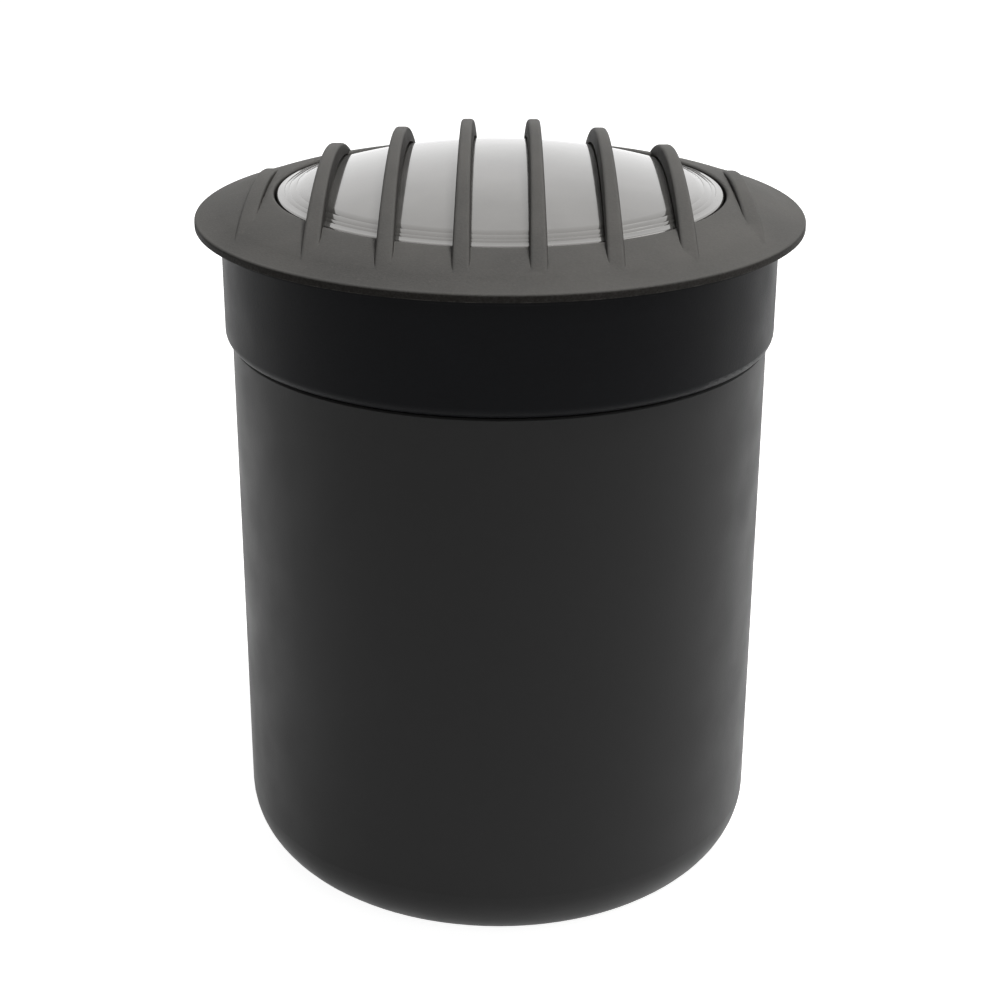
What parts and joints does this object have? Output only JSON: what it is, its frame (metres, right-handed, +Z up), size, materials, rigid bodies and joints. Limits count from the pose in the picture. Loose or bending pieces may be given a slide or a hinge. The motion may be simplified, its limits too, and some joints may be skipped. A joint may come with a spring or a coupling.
{
  "type": "in ground well light",
  "caption": "Buried well light: round can with a lift-off ribbed domed grille cover, frosted lens, and a turning, tilting reflector lamp inside.",
  "frame": {"origin": "centre of the can's foot, on the plane it rests on", "axes": "+Z up along the can's axis, +Y away from the picture's viewer and along the grille ribs, +X to the viewer's right"},
  "size_m": [0.178, 0.178, 0.2267],
  "materials": {
    "cover_metal": "satin powder coat, dark bronze grey",
    "collar_plastic": "satin black moulded plastic",
    "can_plastic": "smooth dark grey moulded plastic",
    "lens_glass": "frosted inside, glossy outside",
    "seal_rubber": "matte black",
    "bracket_steel": "zinc plated, brushed",
    "screw_steel": "stainless",
    "screw_brass": "bright brass",
    "holder_metal": "satin black",
    "lamp_reflector": "vapour-coated, bright",
    "lamp_glass": "clear moulded glass",
    "gland_nylon": "moulded nylon",
    "block_plastic": "moulded, off white",
    "knob_plastic": "moulded"
  },
  "bodies": {
    "well": {"well_housing": "can_plastic", "neck_o_ring": "seal_rubber", "bridge_strap": "bracket_steel", "bridge_screws": "screw_steel", "swivel_bolt": "screw_steel", "swivel_spacer": "screw_steel", "swivel_washer": "screw_steel", "swivel_lock_nut": "screw_steel", "gland_body": "gland_nylon", "gland_seal": "seal_rubber", "gland_cap": "gland_nylon", "gland_washer": "seal_rubber", "gland_locknut": "gland_nylon", "terminal_block": "block_plastic", "terminal_block_screws": "screw_brass"},
    "head": {"cover_grille": "cover_metal", "lens": "lens_glass", "lens_upper_gasket": "seal_rubber", "lens_lower_gasket": "seal_rubber", "collar": "collar_plastic", "head_screws": "screw_steel"},
    "yoke": {"yoke_bracket": "bracket_steel"},
    "lamp": {"lamp_holder_ring": "holder_metal", "lamp_shell": "lamp_reflector", "lamp_face_lens": "lamp_glass", "lamp_clips": "bracket_steel", "clip_screws": "screw_steel", "lamp_terminals": "screw_brass"},
    "left_knob": {"left_tilt_knob": "knob_plastic"},
    "right_knob": {"right_tilt_knob": "knob_plastic"}
  },
  "joints": [
    {"name": "head_lift", "type": "slide", "parent": "well", "child": "head", "axis": [0, 0, 1], "range_m": [0, 0.09]},
    {"name": "yoke_swivel", "type": "hinge", "parent": "well", "child": "yoke", "pos_m": [0, 0, 0.075], "axis": [0, 0, 1], "range_deg": [-180, 180]},
    {"name": "lamp_tilt", "type": "hinge", "parent": "yoke", "child": "lamp", "pos_m": [0, 0, 0.1515], "axis": [1, 0, 0], "range_deg": [-20, 20]},
    {"name": "left_knob_turn", "type": "hinge", "parent": "yoke", "child": "left_knob", "pos_m": [-0.0655, 0, 0.1515], "axis": [-1, 0, 0], "range_deg": [0, 360]},
    {"name": "right_knob_turn", "type": "hinge", "parent": "yoke", "child": "right_knob", "pos_m": [0.0655, 0, 0.1515], "axis": [1, 0, 0], "range_deg": [0, 360]}
  ]
}
